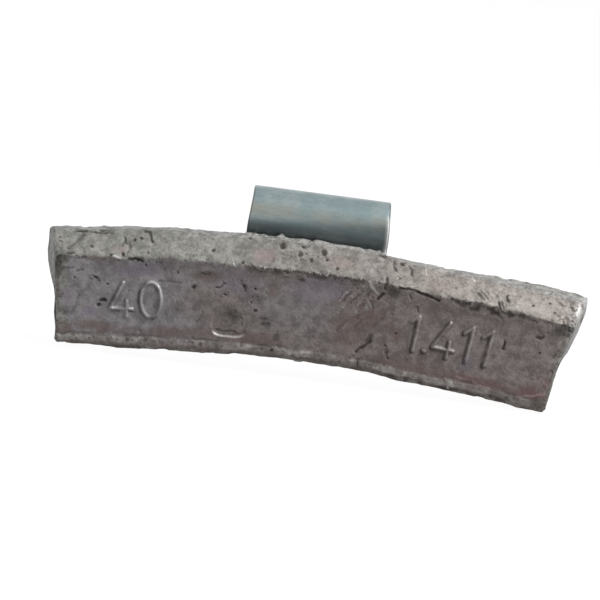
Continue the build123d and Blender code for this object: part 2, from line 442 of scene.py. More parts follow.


# Cuts and cracks, dark and sunk, and painted shadow inside the pin dent
cut_marks = (
    (-26.0, -0.7, -27.3, -2.2, 0.2, 0.1, 0.5), (-21.5, -0.8, -21.4, -1.2, -21.7, -1.6, 0.1, 0.1, 0.8),
    (-21.4, -1.2, -21.1, -1.4, 0.1, 0.1, 0.7), (-19.3, -0.3, -18.7, -0.3, -18.4, -1.2, 0.1, 0.2, 0.8),
    (-27.5, -2.7, -26.8, -2.6, 0.1, 0.2, 0.8), (-20.9, -1.4, -20.6, -2.0, -20.9, -2.4, 0.1, 0.1, 0.5),
    (-20.5, -2.9, -19.3, -3.1, 0.2, 0.2, 1.0), (-27.9, -4.3, -26.7, -4.3, 0.2, 0.1, 0.5),
    (-26.6, -0.2, -25.6, -0.3, 0.1, 0.0, 0.7), (-25.2, -0.3, -24.0, -0.4, 0.0, 0.1, 0.8),
    (-23.8, -0.4, -22.5, -0.4, 0.1, 0.0, 0.6), (-26.2, -4.6, -25.8, -4.4, 0.1, 0.1, 0.6),
    (-23.9, -7.6, -23.4, -7.7, 0.2, 0.2, 1.0), (-26.0, -7.2, -26.8, -9.5, 0.1, 0.1, 0.3),
    (-17.5, -5.3, -15.0, -5.4, 0.1, 0.1, 0.4), (-12.7, -4.1, -12.2, -4.4, -11.7, -4.1, 0.1, 0.1, 0.5),
    (-7.9, -5.2, -7.7, -5.8, 0.2, 0.1, 0.8), (-10.9, -5.6, -10.4, -5.5, -10.0, -5.2, 0.1, 0.1, 0.8),
    # The next two marks are painted shadow in the pin dent: along its right wall and above its lower wall
    (-7.9, -8.7, -7.7, -9.6, 0.1, 0.1, 0.6), (-10.6, -10.4, -8.2, -10.4, 0.1, 0.1, 0.6),
    (-12.4, -8.4, -13.0, -9.6, 0.2, 0.1, 0.4), (6.5, -0.2, 7.3, -0.3, 0.2, 0.1, 0.8),
    (9.1, -0.3, 9.3, -0.4, 0.2, 0.1, 0.8), (8.3, -0.3, 8.2, -0.8, 8.4, -1.2, 0.1, 0.2, 0.8),
    (8.9, -2.2, 9.2, -1.8, 0.1, 0.0, 0.5), (9.9, -0.4, 10.3, -0.8, 10.3, -1.3, 0.1, 0.2, 0.8),
    (13.7, -2.1, 13.4, -2.7, 0.1, 0.0, 0.5), (7.7, -2.3, 7.6, -3.3, 0.2, 0.2, 0.9),
    (7.5, -3.9, 7.1, -4.6, 0.2, 0.2, 1.0), (4.0, -4.4, 3.1, -5.8, 0.1, 0.0, 0.7),
    (5.3, -4.1, 4.5, -5.3, 0.1, 0.0, 0.5), (6.0, -4.0, 5.5, -4.7, 0.1, 0.1, 0.4),
    (8.3, -4.2, 7.9, -5.0, 0.1, 0.0, 0.4), (7.5, -5.0, 7.0, -5.8, 0.1, 0.0, 0.4),
    (3.8, -5.9, 3.2, -6.9, 0.1, 0.0, 0.4), (4.9, -4.6, 3.9, -5.7, 0.1, 0.1, 0.4),
    (6.4, -5.0, 6.7, -5.8, 0.2, 0.1, 0.5), (5.6, -5.6, 5.0, -6.5, 5.1, -7.2, 0.1, 0.1, 0.4),
    (7.9, -6.6, 7.0, -7.7, 0.1, 0.2, 0.3), (3.9, -7.6, 3.2, -8.8, 0.1, 0.2, 0.3),
    (5.6, -7.4, 5.0, -8.6, 0.2, 0.1, 0.3), (10.4, -3.5, 10.6, -4.0, 0.1, 0.1, 0.6),
    (9.2, -3.1, 10.8, -2.9, 12.4, -3.2, 13.6, -3.4, 0.1, 0.2, 1.0),
    (11.4, -4.7, 11.7, -5.1, 0.1, 0.1, 0.6), (7.2, -9.4, 5.6, -10.8, 0.2, 0.1, 0.9),
    (7.0, -8.9, 6.7, -9.6, 0.3, 0.2, 0.5), (8.6, -9.1, 9.0, -9.6, 0.0, 0.1, 0.7),
    (8.8, -9.9, 9.3, -9.8, 0.1, 0.0, 0.6), (8.9, -10.2, 9.2, -10.1, 9.1, -10.4, 0.1, 0.1, 0.7),
    (9.2, -10.5, 9.4, -10.7, 0.1, 0.1, 0.7), (6.0, -11.5, 6.1, -12.3, 0.1, 0.1, 0.6),
    (17.8, -1.7, 18.6, -2.3, 0.1, 0.1, 0.6), (18.0, -1.3, 19.0, -2.2, 0.1, 0.1, 0.5),
    (18.5, -1.1, 19.4, -1.9, 0.1, 0.1, 0.4), (19.2, -1.0, 20.0, -1.7, 0.1, 0.1, 0.3),
    (21.2, -1.3, 21.2, -1.8, 0.1, 0.2, 0.9), (20.3, -2.2, 20.6, -2.9, 0.1, 0.1, 0.9),
    (20.6, -2.1, 20.9, -2.8, 0.1, 0.1, 0.8), (21.0, -2.3, 21.1, -2.8, 0.1, 0.0, 0.6),
    (22.0, -6.2, 22.0, -7.0, 0.1, 0.2, 0.9), (25.2, -4.9, 25.7, -5.0, 25.9, -4.6, 0.2, 0.1, 0.8),
    (26.8, -0.6, 27.2, -0.9, 0.1, 0.1, 0.5), (28.1, -0.8, 28.5, -1.1, 0.1, 0.1, 0.7),
    (26.7, -2.1, 27.2, -2.5, 0.1, 0.0, 0.6), (27.9, -1.6, 28.3, -1.9, 0.1, 0.1, 0.6),
    (28.2, -2.2, 28.6, -2.4, 0.1, 0.1, 0.7), (27.3, -2.3, 27.4, -2.9, 0.1, 0.1, 0.7),
    (27.7, -2.4, 27.8, -2.9, 0.1, 0.1, 0.7),
)
cuts = stroke_field(cut_marks)

# Bright scratches, flakes and smears, where the skin is broken, and two painted highlights: a glint in the
# pin dent and a spot on the 4
bright_marks = (
    (-22.6, -2.7, -21.6, -2.9, 0.1, 0.1, 1.0), (-26.5, -0.4, -26.9, -1.0, 0.2, 0.1, 0.3),
    (-14.2, -0.1, -14.5, -0.5, 0.2, 0.1, 0.3), (-9.2, -2.8, -9.0, -3.0, 0.1, 0.1, 1.0),
    # The second mark here is a painted highlight: a glint on the pin dent's right wall
    (-19.6, -10.9, -19.4, -11.1, 0.1, 0.1, 0.6), (-7.9, -8.9, -7.7, -9.1, 0.1, 0.1, 0.7),
    (1.1, -0.5, 0.8, -1.0, 0.1, 0.1, 0.4), (4.9, -1.3, 5.4, -2.0, 0.1, 0.1, 0.3),
    (5.4, -1.2, 6.0, -1.9, 0.1, 0.1, 0.3), (5.9, -3.0, 6.2, -3.6, 6.8, -4.0, 0.1, 0.1, 1.0),
    (8.7, -2.2, 8.9, -2.0, 0.1, 0.1, 0.5), (3.7, -4.3, 2.8, -5.7, 0.1, 0.0, 0.9),
    (4.1, -4.9, 4.2, -5.0, 0.1, 0.1, 0.8), (3.4, -6.1, 3.5, -6.2, 0.1, 0.1, 0.7),
    (4.8, -6.4, 5.0, -6.5, 0.1, 0.1, 0.5), (5.1, -5.3, 4.7, -5.9, 0.1, 0.0, 0.5),
    (5.3, -3.7, 5.6, -4.1, 0.1, 0.0, 0.4), (2.9, -6.9, 3.0, -7.0, 0.1, 0.1, 0.5),
    (5.9, -4.9, 6.4, -5.8, 0.2, 0.1, 0.3), (5.8, -5.6, 6.0, -6.1, 0.1, 0.1, 0.4),
    # The second mark here is a painted highlight at the end of the 4's crossbar
    (4.2, -8.0, 3.8, -8.5, 0.1, 0.1, 0.3), (-20.5, -8.5, -20.3, -8.5, 0.2, 0.2, 1.0),
    (11.8, -0.3, 11.9, -0.9, 0.1, 0.1, 0.7), (16.9, -0.2, 17.3, -0.4, 0.1, 0.1, 0.8),
    (22.2, -2.2, 22.7, -2.6, 0.1, 0.1, 0.4), (17.0, -12.5, 17.2, -12.7, 0.1, 0.1, 0.9),
    (27.2, -2.0, 27.5, -2.7, 0.1, 0.0, 0.4), (28.2, -1.9, 28.7, -2.2, 0.1, 0.0, 0.4),
    (28.3, -2.4, 28.6, -2.9, 0.1, 0.0, 0.4),
)
bright = stroke_field(bright_marks)


def tint_field(places):
    """Soft tints, stains and painted reflections alike: each is an ellipse with two half widths and a
    strength, and its edge is ragged.
    """
    field = np.zeros(along.shape)
    for middle, height, half_along, half_height, strength in places:
        gap = np.hypot((mark_along - middle) / half_along, (mark_below - height) / half_height)
        field = np.maximum(field, strength * smooth(1.35, 0.4, gap + 0.2 * fret + 0.25 * cloud))
    return field * on_front


# Stains in five colours, and painted reflection in the broad purple ones: places along the arch and below
# its top, half widths and strengths
stain_and_reflection_places = {
    "brown": (
        (-24.3, -10.6, 2.6, 0.7, 0.9), (-20.0, -11.0, 3.5, 0.5, 0.7), (-16.2, -10.9, 2.2, 0.6, 0.9),
        (-12.0, -4.5, 1.6, 0.6, 0.8), (-12.5, -10.8, 2.2, 0.7, 0.7), (-6.5, -10.9, 2.6, 0.8, 0.9),
        (-4.7, -5.3, 0.6, 0.9, 0.6), (-1.9, -3.7, 0.7, 0.3, 0.9), (4.5, -8.6, 2.4, 2.6, 0.6),
        (6.6, -6.4, 1.6, 0.8, 0.6), (9.8, -7.8, 0.9, 0.9, 0.5), (13.0, -11.2, 6.0, 0.7, 0.8),
        (21.0, -11.2, 6.0, 0.6, 0.9), (26.5, -10.6, 1.8, 0.9, 0.8), (16.0, -4.3, 2.0, 0.6, 0.4),
        (-27.8, -11.2, 1.8, 1.2, 0.8), (-28.4, -7.0, 0.5, 2.6, 0.6), (-24.0, -3.1, 3.0, 0.4, 0.6),
        (24.1, -10.4, 0.5, 0.4, 1.0), (4.0, -7.6, 1.3, 1.3, 0.8), (6.5, -7.3, 1.6, 1.0, 0.7),
        (9.2, -7.3, 0.4, 0.5, 1.0), (10.0, -8.2, 0.4, 0.4, 1.0), (4.6, -5.4, 1.0, 0.4, 0.7),
        (8.7, -5.3, 0.4, 0.4, 0.8),
    ),
    "purple": (
        # The broad purple patches near the top of the face are painted reflection; the small ones are
        # stains
        (-25.0, -8.9, 0.9, 0.6, 1.0), (-19.5, -4.2, 3.0, 0.7, 0.8), (-27.4, -7.6, 0.8, 1.0, 0.5),
        (-8.5, -5.0, 3.0, 1.4, 0.5), (0.0, -4.6, 3.4, 1.6, 0.7), (25.7, -2.9, 0.7, 0.2, 0.6),
        (18.5, -9.4, 0.7, 0.9, 0.5),
    ),
    "olive": (
        (-27.8, -3.3, 0.8, 0.8, 0.9), (-26.8, -11.9, 1.6, 0.4, 0.4), (-12.2, -4.2, 0.9, 0.4, 0.5),
        (-7.2, -3.3, 0.6, 0.3, 0.7), (-6.0, -3.4, 0.5, 0.2, 0.9), (-4.3, -3.3, 0.7, 0.3, 0.9),
        (-3.4, -3.7, 0.5, 0.2, 0.9), (-1.6, -3.8, 0.6, 0.2, 0.9), (0.6, -3.3, 0.8, 0.3, 0.7),
        (2.4, -3.4, 0.8, 0.3, 0.7), (4.5, -3.3, 0.8, 0.3, 0.7), (-9.0, -8.3, 1.1, 0.9, 0.9),
        (-6.3, -6.4, 0.9, 0.6, 0.6), (-5.2, -8.5, 0.5, 0.3, 0.9), (-5.1, -9.1, 0.6, 0.3, 1.0),
        (-3.7, -10.4, 0.4, 0.4, 0.8), (-28.3, -4.2, 0.5, 0.9, 0.9), (-27.0, -9.2, 0.8, 0.4, 0.5),
        (8.6, -3.5, 0.9, 0.6, 1.0), (7.0, -9.1, 0.5, 0.5, 0.5), (27.0, -3.6, 0.8, 0.8, 1.0),
        (28.1, -3.3, 1.2, 0.9, 1.0), (28.3, -8.0, 0.5, 4.0, 0.5), (27.8, -11.8, 1.3, 0.6, 0.5),
        (9.6, -12.5, 1.5, 0.3, 0.6), (17.0, -12.6, 2.0, 0.3, 0.9), (23.5, -12.4, 1.2, 0.3, 0.6),
    ),
    "pink": (
        (-21.8, -2.0, 1.0, 0.5, 0.5), (-6.0, -1.7, 1.4, 0.8, 0.8), (2.4, -1.6, 2.0, 0.7, 0.5),
        (13.5, -1.8, 1.6, 0.7, 0.4),
    ),
    "red": (
        (26.2, -10.9, 1.7, 0.5, 1.0), (27.8, -9.5, 0.4, 0.9, 0.8), (21.0, -11.1, 3.5, 0.5, 0.6),
    ),
}
smear_marks = (
    (19.7, -11.2, 21.0, -11.6, 21.8, -11.6, 0.1, 0.1, 1.0),
    (25.1, -11.7, 26.5, -11.2, 27.8, -10.7, 28.1, -9.8, 0.1, 0.1, 1.0),
    (27.0, -9.1, 28.0, -9.7, 0.1, 0.1, 0.8),
    (17.6, -11.0, 18.9, -11.2, 0.1, 0.1, 0.7),
)
stains_and_reflections = {colour: tint_field(places) for colour, places in stain_and_reflection_places.items()}
stains_and_reflections["pink"] = np.maximum(stains_and_reflections["pink"], stroke_field(smear_marks))

# Lead that crept up the clip's foot, and the stub of the gate below the middle of the bar
clip_shift = -0.5
clip_half_width = 7.6
clip_foot_y = -2.4
from_clip = np.abs(bar[..., 0] - clip_shift)
before_clip = smooth(clip_half_width + 0.8, clip_half_width - 0.3, from_clip) * (kind <= land_arc)
creep = before_clip * hump(bar[..., 1], clip_foot_y - 0.15, 0.45)
creep_height = 0.14 + 0.1 * lattice(bar_line, 1.6, 17)
creep_rough = 0.03 + 0.12 * smooth(3.0, 0.0, bar[..., 0])
creep_height += creep_rough * smooth(0.2, 0.8, lattice(bar_line, 0.6, 18))
creep_lumps = (
    (-6.3, 0.3, 0.1), (-4.4, 0.4, 0.4), (-2.0, 0.8, 0.1), (0.5, 1.2, 0.1), (5.3, 0.2, 0.1), (6.4, 0.2, 0.2),
)
for lump_x, lump_reach, lump_rise in creep_lumps:
    creep_height += lump_rise * hump(bar[..., 0], lump_x, lump_reach)
gate_along = -0.8
gate_half_width, gate_half_depth, gate_rise = 0.9, 0.9, 0.45
gate = smooth(1.3, 0.3, np.abs(along - gate_along) / gate_half_width) * (kind == sole_run)
gate = gate * smooth(1.3, 0.4, np.abs(bar[..., 1] - (heel_y + back_y) / 2) / gate_half_depth) * gate_rise

# The skin moves along its own normal by all of these, with slow waves and a fine as-cast grain
across_step = np.roll(bar, -1, axis=1) - np.roll(bar, 1, axis=1)
skin_normal = np.cross(across_step, np.gradient(bar, axis=0))
skin_normal /= np.linalg.norm(skin_normal, axis=-1)[..., None] + 1e-12
ripple = 0.035 * lattice(bar, 5.0, 1) + 0.045 * lattice(bar, 2.3, 2) * (1.0 - 0.6 * die_face)
grain = 0.05 * lattice(bar, 1.2, 9) + 0.04 * lattice(bar, 0.7, 4) + 0.02 * lattice(bar, 0.38, 5)
grain *= rough_skin + 0.5 * land
dents = 0.1 * smooth(0.2, 0.8, lattice(bar, 1.3, 6)) * hump(edge_gap, 0.0, 0.6)
lift = ripple + grain - dents - 0.13 * pits - 0.1 * cold_edge - 0.08 * land_edge - 0.12 * cuts
lift = lift + 0.05 * bright - 0.06 * heel_edge
lift = lift + figure_lift - pin_dent + creep * creep_height + gate
bar = bar + np.clip(lift, -0.4, 0.6)[..., None] * skin_normal
bar = np.clip(bar, box_low + box_margin, box_high - box_margin)


def patch(middle, height, half_along, half_height, core, rag):
    """A patch on the front: an ellipse, 1 inside its core's share and 0 past 1.3, with a ragged edge."""
    gap = np.hypot((along - middle) / half_along, (below - height) / half_height)
    return smooth(1.3, core, gap + rag * cloud) * on_front


# What the material shows of the wear, and painted light: rubbed metal and painted highlights, dark grime
# and painted shade, pale broken skin and painted light, and more stains and painted reflections
right_part = smooth(6.0, 10.0, along)
left_end = on_end * (along < 0.0)
# Upper part of the right end: burnished, and painted pale and bright as a highlight from the lamp on the
# right
right_end = smooth(1.0, 0.3, end_gap) * smooth(-4.6, -2.4, below) * (along > 0.0)
right_end *= smooth(-0.6, 0.5, lattice(bar, 1.1, 53))
top_line = hump(around_bar, back_top + 0.2, 0.2) * smooth(16.0, 22.0, along)
top_line *= smooth(-0.1, 0.4, lattice(bar, 1.3, 54))
# The land's edge in front of the clip, painted pale: painted light against the clip's shade
lightened_land = before_clip * smooth(bevel_top + 0.1, bevel_top - 0.1, around_bar)
lightened_land *= smooth(-0.9, 0.0, lattice(bar, 0.8, 19))
rubbed_and_highlight = 0.3 * hump(edge_gap, 0.0, 0.25) * smooth(0.2, 0.7, lattice(bar, 0.45, 21)) * (1.0 - cold_band)
rubbed_and_highlight = rubbed_and_highlight + 0.6 * right_end + bright + pin_wall_highlight
# Figures: crests rubbed bright, and a painted highlight on the flanks that face the lamp above and to the
# right
figure_rub_and_highlight = 0.4 * figure_crest**3 + figure_crest**0.5 * np.clip(figure_facing, 0.0, 1.0)
figure_rub_and_highlight *= np.where(along < 0.0, 1.0, 0.6)
rubbed_and_highlight += figure_rub_and_highlight * smooth(-0.7, 0.3, lattice(bar, 0.9, 32))
# Painted shade at the figures' feet and on their crests, darkest where the flanks face away from the lamp
figure_shade = np.maximum(figure_foot, 0.5 * figure_crest) * (0.5 - 0.5 * figure_facing)
on_bevel = smooth(bevel_top, bevel_top + 0.3, around_bar) * smooth(face_top, face_top - 0.3, around_bar)
dull_bevel = on_bevel * smooth(-11.0, -8.0, along) * smooth(19.0, 16.0, along)
dull_face = die_face * smooth(-20.0, -16.0, along) * smooth(13.0, 10.0, along)
# Painted shadow: the upper part of the die face darkened, as if shaded by the bevel above it
upper_face_shadow = die_face * smooth(-5.6, -3.6, below) * smooth(-28.0, -21.0, along) * smooth(30.0, 24.0, along)
# Dark grime, with painted shade among it: the figures' shaded flanks and the upper face's shadow
grime_and_shade_layers = (
    cold_edge,
    0.9 * pits,
    cuts,
    0.8 * land_edge,
    (0.7 + 0.2 * right_part) * heel_edge,
    0.5 * foot_line * on_front,
    0.3 * foot_dark,
    0.7 * smooth(0.1, 0.6, lattice(bar_line, 0.8, 37) + 0.3 * fret) * foot_dark * right_part,
    0.7 * top_line,
    0.9 * figure_shade * smooth(-0.7, 0.3, lattice(bar, 0.7, 44)),
    0.1 * dull_bevel,
    0.08 * dull_face,
    0.31 * upper_face_shadow,
)
foot_patch = 0.15 + 0.7 * smooth(-0.2, 0.6, lattice(bar, 1.7, 34) + 0.5 * fret)
worn_foot = hump(along, -26.5, 1.8) + hump(along, -1.0, 3.0) + hump(along, 14.0, 3.0)
foot_patch = np.maximum(foot_patch, 0.55 * worn_foot) * smooth(28.0, 23.0, along)
foot_stain = smooth(0.0, 0.5, lattice(bar, 0.9, 35) + 0.4 * fret) * (foot_pale + foot_dark)
wiped_place = np.stack([along - below, 0.2 * (along + below), np.zeros(along.shape)], axis=-1)
wiped = smooth(0.0, 0.6, lattice(wiped_place, 0.45, 36) + 0.3 * fret)
wiped *= patch(5.4, -7.2, 3.4, 2.8, core=0.5, rag=0.2)
stains_and_reflections["brown"] = np.maximum.reduce((stains_and_reflections["brown"], 0.6 * np.clip(foot_stain, 0.0, 1.0), wiped))
pale_layers = (
    foot_patch * foot_pale,
    0.2 * on_bevel * hump(along, 21.0, 3.5),
    0.3 * land * hump(along, 14.0, 3.0),
    # Painted light: the left end, which the lamp leaves in shade, painted paler in patches
    0.2 * left_end * smooth(-0.7, 0.5, cloud),
    0.7 * right_end,
    0.3 * lightened_land,
)
# Lilac cast over the left and middle of the face: painted reflection
lilac = smooth(-7.0, -20.0, along + 5.0 * cloud) + 0.6 * hump(along, -2.0, 6.0) * hump(below, -7.0, 3.0)
lilac *= smooth(0.3, -0.5, foot_reach)

# Crumbs finer than the mesh, which the material scatters: how thick dark dirt and bright chips lie
right_crumbs = 0.8 * smooth(25.0, 28.5, along) * (1.0 - die_face) * smooth(-5.0, -3.5, below)
left_crumbs = smooth(1.3, 0.6, end_gap + 2.0 * crumble) * (along < 0.0) * (kind >= face_arc)
left_crumbs = np.maximum(left_crumbs, 0.8 * patch(-28.5, -11.5, 2.6, 1.6, core=0.5, rag=0.3))
crumb_zone = np.maximum(land * (0.3 + 0.4 * right_part), right_crumbs)
crumb_zone *= (kind <= foot_run) * smooth(-0.3, 0.2, end_gap)
scuffed = patch(5.0, -5.0, 3.2, 2.0, core=0.4, rag=0.3)
speckled = patch(-8.0, -5.5, 6.0, 2.2, core=0.4, rag=0.0)
dirt_layers = (
    (0.3 + 0.6 * cold_dark) * hump(cold_depth, 0.15, 0.45),
    0.6 * cold_dark * hump(cold_depth, 0.6, 0.6) * smooth(8.0, 4.0, np.abs(along - 1.0)),
    0.6 * crumb_zone,
    0.5 * left_crumbs,
    0.4 * left_end,
    0.4 * foot_pale,
    0.4 * foot_dark,
    0.7 * stains_and_reflections["olive"],
    0.5 * hump(end_gap + crumble, 0.7, 0.5) * on_front,
    0.4 * scuffed,
    0.4 * speckled,
    0.2 * (1.0 - die_face),
)
chip_layers = (
    0.7 * hump(cold_depth, 0.0, 0.3) * smooth(9.0, 5.0, np.abs(along + 1.0)),
    0.7 * crumb_zone,
    0.3 * left_crumbs,
    0.35 * foot_pale,
    0.45 * scuffed,
    0.8 * lightened_land,
    0.2 * (1.0 - die_face),
)
wear = {
    "rubbed_and_highlight": np.clip(rubbed_and_highlight, 0.0, 1.0),
    "grime_and_shade": np.maximum.reduce(grime_and_shade_layers),
    "dirt": np.maximum.reduce(dirt_layers),
    "chips": np.maximum.reduce(chip_layers),
    "die_face": face_colour,
    "land": np.maximum(land, on_end),
    "pale": np.maximum.reduce(pale_layers),
    "lilac": np.clip(lilac, 0.0, 1.0),
    **stains_and_reflections,
}
lead_bar = closed_tube("lead_bar_skin", bar, wear)


class Field:
    """A shader socket: arithmetic on it adds Math nodes, and node() adds any other node."""

    def __init__(self, tree, socket):
        self.tree = tree
        self.socket = socket

    def node(self, kind, settings=None, sockets=None, output=0):
        """Add a node: set its settings, then give its sockets their values or links."""
        made = self.tree.nodes.new(kind)
        for key, value in (settings or {}).items():
            setattr(made, key, value)
        for key, value in (sockets or {}).items():
            if isinstance(value, Field):
                self.tree.links.new(value.socket, made.inputs[key])
            else:
                made.inputs[key].default_value = value
        return Field(self.tree, made.outputs[output] if made.outputs else None)

    def math(self, operation, *values):
        """The result of one Math node on these values."""
        return self.node("ShaderNodeMath", {"operation": operation}, dict(enumerate(values)))

    def __add__(self, other):
        return self.math("ADD", self, other)

    def __mul__(self, other):
        return self.math("MULTIPLY", self, other)

    def __sub__(self, other):
        return self.math("SUBTRACT", self, other)

    def __rsub__(self, other):
        return self.math("SUBTRACT", other, self)

    __radd__ = __add__
    __rmul__ = __mul__

    def between(self, low, high):
        """Smoothstep of this value between two limits, from 0 to 1."""
        limits = {"Value": self, "From Min": low, "From Max": high}
        return self.node("ShaderNodeMapRange", {"interpolation_type": "SMOOTHSTEP"}, limits)

    def mix(self, low, high):
        """The colour that goes from low to high as this value goes from 0 to 1."""
        return self.node("ShaderNodeMix", {"data_type": "RGBA"}, {0: self, 6: low, 7: high}, output=2)

    def scaled(self, factor):
        """This vector times one number or by three."""
        factor = factor if isinstance(factor, tuple) else (factor,) * 3
        return self.node("ShaderNodeVectorMath", {"operation": "MULTIPLY"}, {0: self, 1: factor})

    def noise(self, scale, detail=3.0, roughness=0.55, seed=0.0):
        """Noise from 0 to 1 at this place, with features about 1/scale across."""
        moved = self.node("ShaderNodeVectorMath", {"operation": "ADD"}, {0: self, 1: (seed, seed, seed)})
        levels = {"Vector": moved, "Scale": scale, "Detail": detail, "Roughness": roughness}
        return self.node("ShaderNodeTexNoise", None, levels)

    def attribute(self, name):
        """A number kept on the mesh's points."""
        return self.node("ShaderNodeAttribute", {"attribute_name": name}, output="Fac")

    def axis(self, index):
        """One component of this vector."""
        return self.node("ShaderNodeSeparateXYZ", None, {0: self}, output=index)


def new_material(name):
    """A node material: gives it, its surface shader and the place on the piece in millimetres."""
    material = bpy.data.materials.new(name)
    material.use_nodes = True
    tree = material.node_tree
    surface = next(node for node in tree.nodes if node.type == "BSDF_PRINCIPLED")
    place = Field(tree, None).node("ShaderNodeTexCoord", output="Object").scaled(1.0 / MILLIMETRE)
    return material, surface, place


def feed(surface, **fields):
    """Link fields to the surface shader's sockets, by the sockets' names with underscores."""
    for key, field in fields.items():
        field.tree.links.new(field.socket, surface.inputs[key.replace("_", " ")])


cast_lead, lead_surface, lead_place = new_material("cast_lead")
lead_rubbed_and_highlight = lead_place.attribute("rubbed_and_highlight")
lead_grime_and_shade = lead_place.attribute("grime_and_shade")
lead_lilac = lead_place.attribute("lilac")
lead_side = lead_place.axis(0).between(-20.0, 20.0)
lead_grain = lead_place.noise(3.6, 2.0, 0.6, seed=7.0)
lead_mottle = lead_place.noise(1.1, 3.0, 0.65, seed=5.0)
lead_cloud = lead_place.noise(0.35, 2.0, 0.5, seed=3.0)
lead_texture = (0.2 * lead_grain + 0.55 * lead_mottle + 0.25 * lead_cloud).between(0.38, 0.62)

# Skin of the bevels and the land, then of the die face
bevel_dark = lead_side.mix((0.2, 0.199, 0.182, 1.0), (0.21, 0.186, 0.17, 1.0))
bevel_light = lead_side.mix((0.395, 0.39, 0.362, 1.0), (0.425, 0.383, 0.355, 1.0))
bevel_tone = lead_texture.mix(bevel_dark, bevel_light)
bevel_vein = lead_place.noise(0.8, 2.0, 0.55, seed=15.0)
bevel_vein = bevel_vein.between(0.465, 0.5) * bevel_vein.between(0.535, 0.5)
bevel_tone = (bevel_vein * lead_cloud.between(0.45, 0.6) * 0.5).mix(bevel_tone, (0.07, 0.07, 0.064, 1.0))
land_tone = lead_texture.mix((0.17, 0.174, 0.17, 1.0), (0.42, 0.425, 0.415, 1.0))
bevel_tone = (lead_place.attribute("land") * 0.7).mix(bevel_tone, land_tone)
# Die face: brown-grey, shifted to lilac where the painted reflection lies
face_dark = lead_lilac.mix((0.165, 0.139, 0.132, 1.0), (0.2, 0.187, 0.194, 1.0))
face_light = lead_lilac.mix((0.3, 0.258, 0.248, 1.0), (0.345, 0.325, 0.337, 1.0))
face_tone = lead_texture.mix(face_dark, face_light)
lead_tone = lead_place.attribute("die_face").mix(bevel_tone, face_tone)

# Stains and painted reflections, then worn and rubbed places with painted highlights, grime with painted
# shade, and crumbs, each over the ones before
stain_and_reflection_colours = {
    "purple": (0.27, 0.23, 0.285, 1.0),
    "brown": (0.165, 0.115, 0.103, 1.0),
    "red": (0.19, 0.108, 0.115, 1.0),
    "pink": (0.37, 0.285, 0.275, 1.0),
    "olive": (0.045, 0.046, 0.039, 1.0),
}
for tint_name, tint_colour in stain_and_reflection_colours.items():
    lead_tone = (0.75 * lead_place.attribute(tint_name)).mix(lead_tone, tint_colour)
pale_tone = lead_texture.mix((0.31, 0.285, 0.265, 1.0), (0.74, 0.705, 0.67, 1.0))
lead_tone = (lead_place.attribute("pale") * 0.8).mix(lead_tone, pale_tone)
# Rubbed metal and painted highlights: lighter and more metallic
lead_tone = (lead_rubbed_and_highlight * 0.75).mix(lead_tone, (0.62, 0.62, 0.62, 1.0))
# Grime and painted shade, dark
lead_tone = (lead_grime_and_shade * 0.94).mix(lead_tone, (0.036, 0.028, 0.024, 1.0))
lead_chips = lead_place.noise(3.2, 2.0, 0.6, seed=13.0) + 0.3 * lead_place.attribute("chips")
lead_chips = lead_chips.between(0.76, 0.86)
lead_dirt = lead_place.noise(2.8, 2.0, 0.6, seed=11.0) + 0.35 * lead_place.attribute("dirt")
lead_dirt = lead_dirt.between(0.74, 0.86)
lead_tone = (lead_chips * 0.8).mix(lead_tone, (0.62, 0.61, 0.59, 1.0))
lead_tone = (lead_dirt * 0.8).mix(lead_tone, (0.045, 0.04, 0.037, 1.0))
lead_fine = lead_place.noise(3.2, 4.0, 0.65, seed=1.0) + 0.4 * lead_chips - 0.5 * lead_dirt
lead_relief = {"Strength": 0.5, "Distance": 0.00015, "Height": lead_fine}
feed(
    lead_surface,
    Base_Color=lead_tone,
    Metallic=0.1 + 0.7 * lead_rubbed_and_highlight,
    Roughness=0.5 + 0.2 * lead_mottle - 0.28 * lead_rubbed_and_highlight + 0.4 * lead_grime_and_shade,
    Normal=lead_place.node("ShaderNodeBump", None, lead_relief),
)
lead_surface.inputs["Specular IOR Level"].default_value = 0.3
lead_bar.data.materials.append(cast_lead)
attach(lead_bar, "root")
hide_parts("lead_bar")


# Rim clip. A strip of spring steel, sheared, bent into a hook and zinc plated with a blue-green
# tint. Its root is cast into the bar, a little askew, and only the hook and its free leg are seen.
clip_thickness = 1.0
hook_wrap = 190.0
neck_lean = 36.0
neck_radius = 1.3
root_lean = 8.0
root_length = 8.4
leg_length = 2.6
tip_radius = 2.0
tip_flare = 42.0
tip_corner_radius = 2.4
sheared_edge_radius = 0.25
foot_spread = 0.2
clip_skew = np.radians(0.5)
hook_middle_radius = hook_radius + clip_thickness / 2
half_sheet = clip_thickness / 2


def turned(angle):
    """Unit vectors in the section plane, turned clockwise from straight up by an angle in degrees."""
    return np.stack([np.sin(np.radians(angle)), np.cos(np.radians(angle))], axis=-1)


def bent_strip(start, heading, bends, step):
    """Middle line of a bent strip: each bend has a length and a turn, taken evenly along it.

    Gives the points, found by adding up short steps along the heading, and the heading at each.
    """
    points, headings = [np.array([start])], [np.array([heading])]
    for length, turn in bends:
        count = max(int(np.ceil(length / step)), 4)
        share = (np.arange(count) + 0.5) / count
        steps = turned(heading + turn * share) * length / count
        points.append(points[-1][-1] + np.cumsum(steps, axis=0))
        headings.append(heading + turn * (share + 0.5 / count))
        heading = heading + turn
    return np.concatenate(points), np.concatenate(headings)


